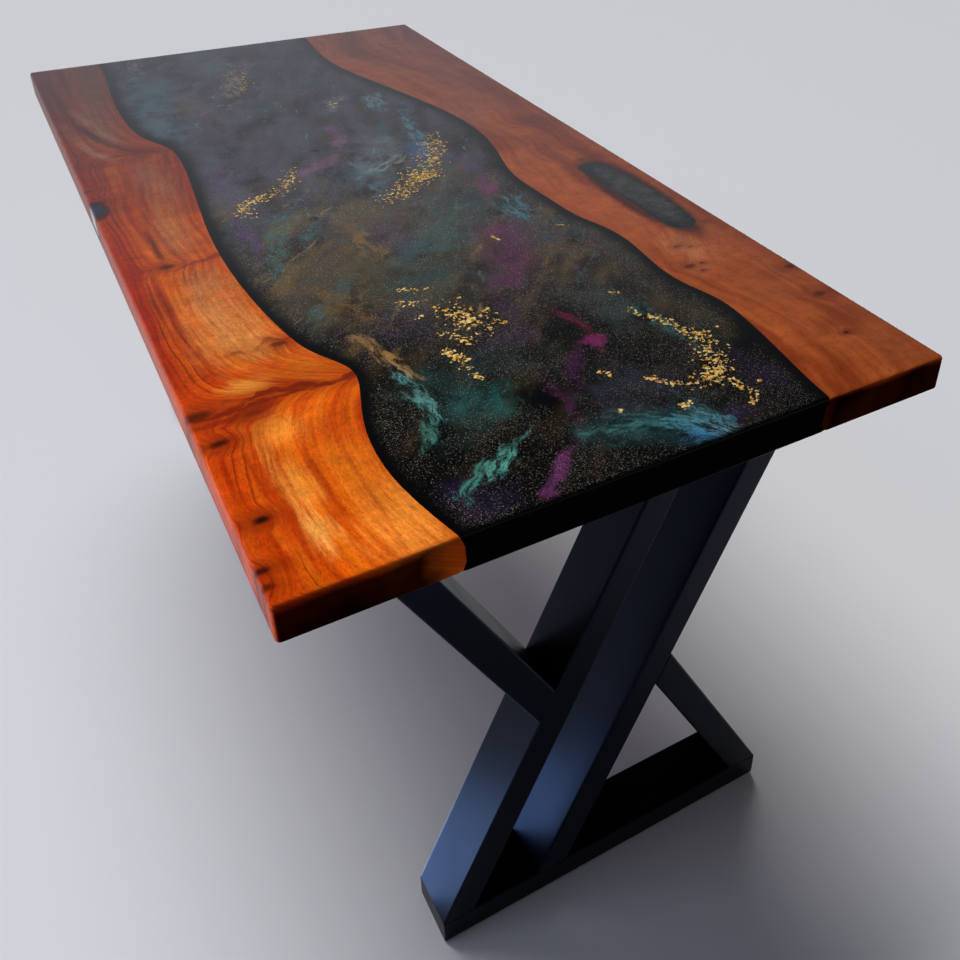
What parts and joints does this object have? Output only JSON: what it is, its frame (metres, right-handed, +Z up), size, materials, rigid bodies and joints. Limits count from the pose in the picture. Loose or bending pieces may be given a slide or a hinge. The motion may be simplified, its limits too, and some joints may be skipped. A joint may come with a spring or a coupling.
{
  "type": "dining table",
  "caption": "Rectangular dining table: live-edge hardwood slabs joined by a dark glittering resin river, on black welded tube frames with sloping bars and struts.",
  "frame": {"origin": "on the floor under the middle of the table top", "axes": "+X across the table to the right seen from the near end, +Y along its length to the far end, +Z up"},
  "size_m": [0.76, 1.54, 0.75],
  "materials": {
    "slab_wood": "gloss lacquered orange-brown hardwood",
    "river_resin": "near-black polished epoxy with glitter, teal and magenta clouds",
    "frame_steel": "satin black powder coat",
    "screw_steel": "zinc plated",
    "pad_rubber": "matt black"
  },
  "bodies": {
    "root": {"left_slab": "slab_wood", "right_slab": "slab_wood", "resin_river": "river_resin", "oval_inlay": "river_resin", "edge_void_fill": "river_resin", "near_foot_rail": "frame_steel", "near_foot_end_plates": "frame_steel", "near_left_bar": "frame_steel", "near_right_bar": "frame_steel", "near_lower_strut": "frame_steel", "near_upper_strut": "frame_steel", "near_top_rail": "frame_steel", "near_top_end_plates": "frame_steel", "near_mounting_plate": "frame_steel", "near_screws": "screw_steel", "near_floor_pads": "pad_rubber", "far_foot_rail": "frame_steel", "far_foot_end_plates": "frame_steel", "far_left_bar": "frame_steel", "far_right_bar": "frame_steel", "far_lower_strut": "frame_steel", "far_upper_strut": "frame_steel", "far_top_rail": "frame_steel", "far_top_end_plates": "frame_steel", "far_mounting_plate": "frame_steel", "far_screws": "screw_steel", "far_floor_pads": "pad_rubber"}
  },
  "joints": []
}
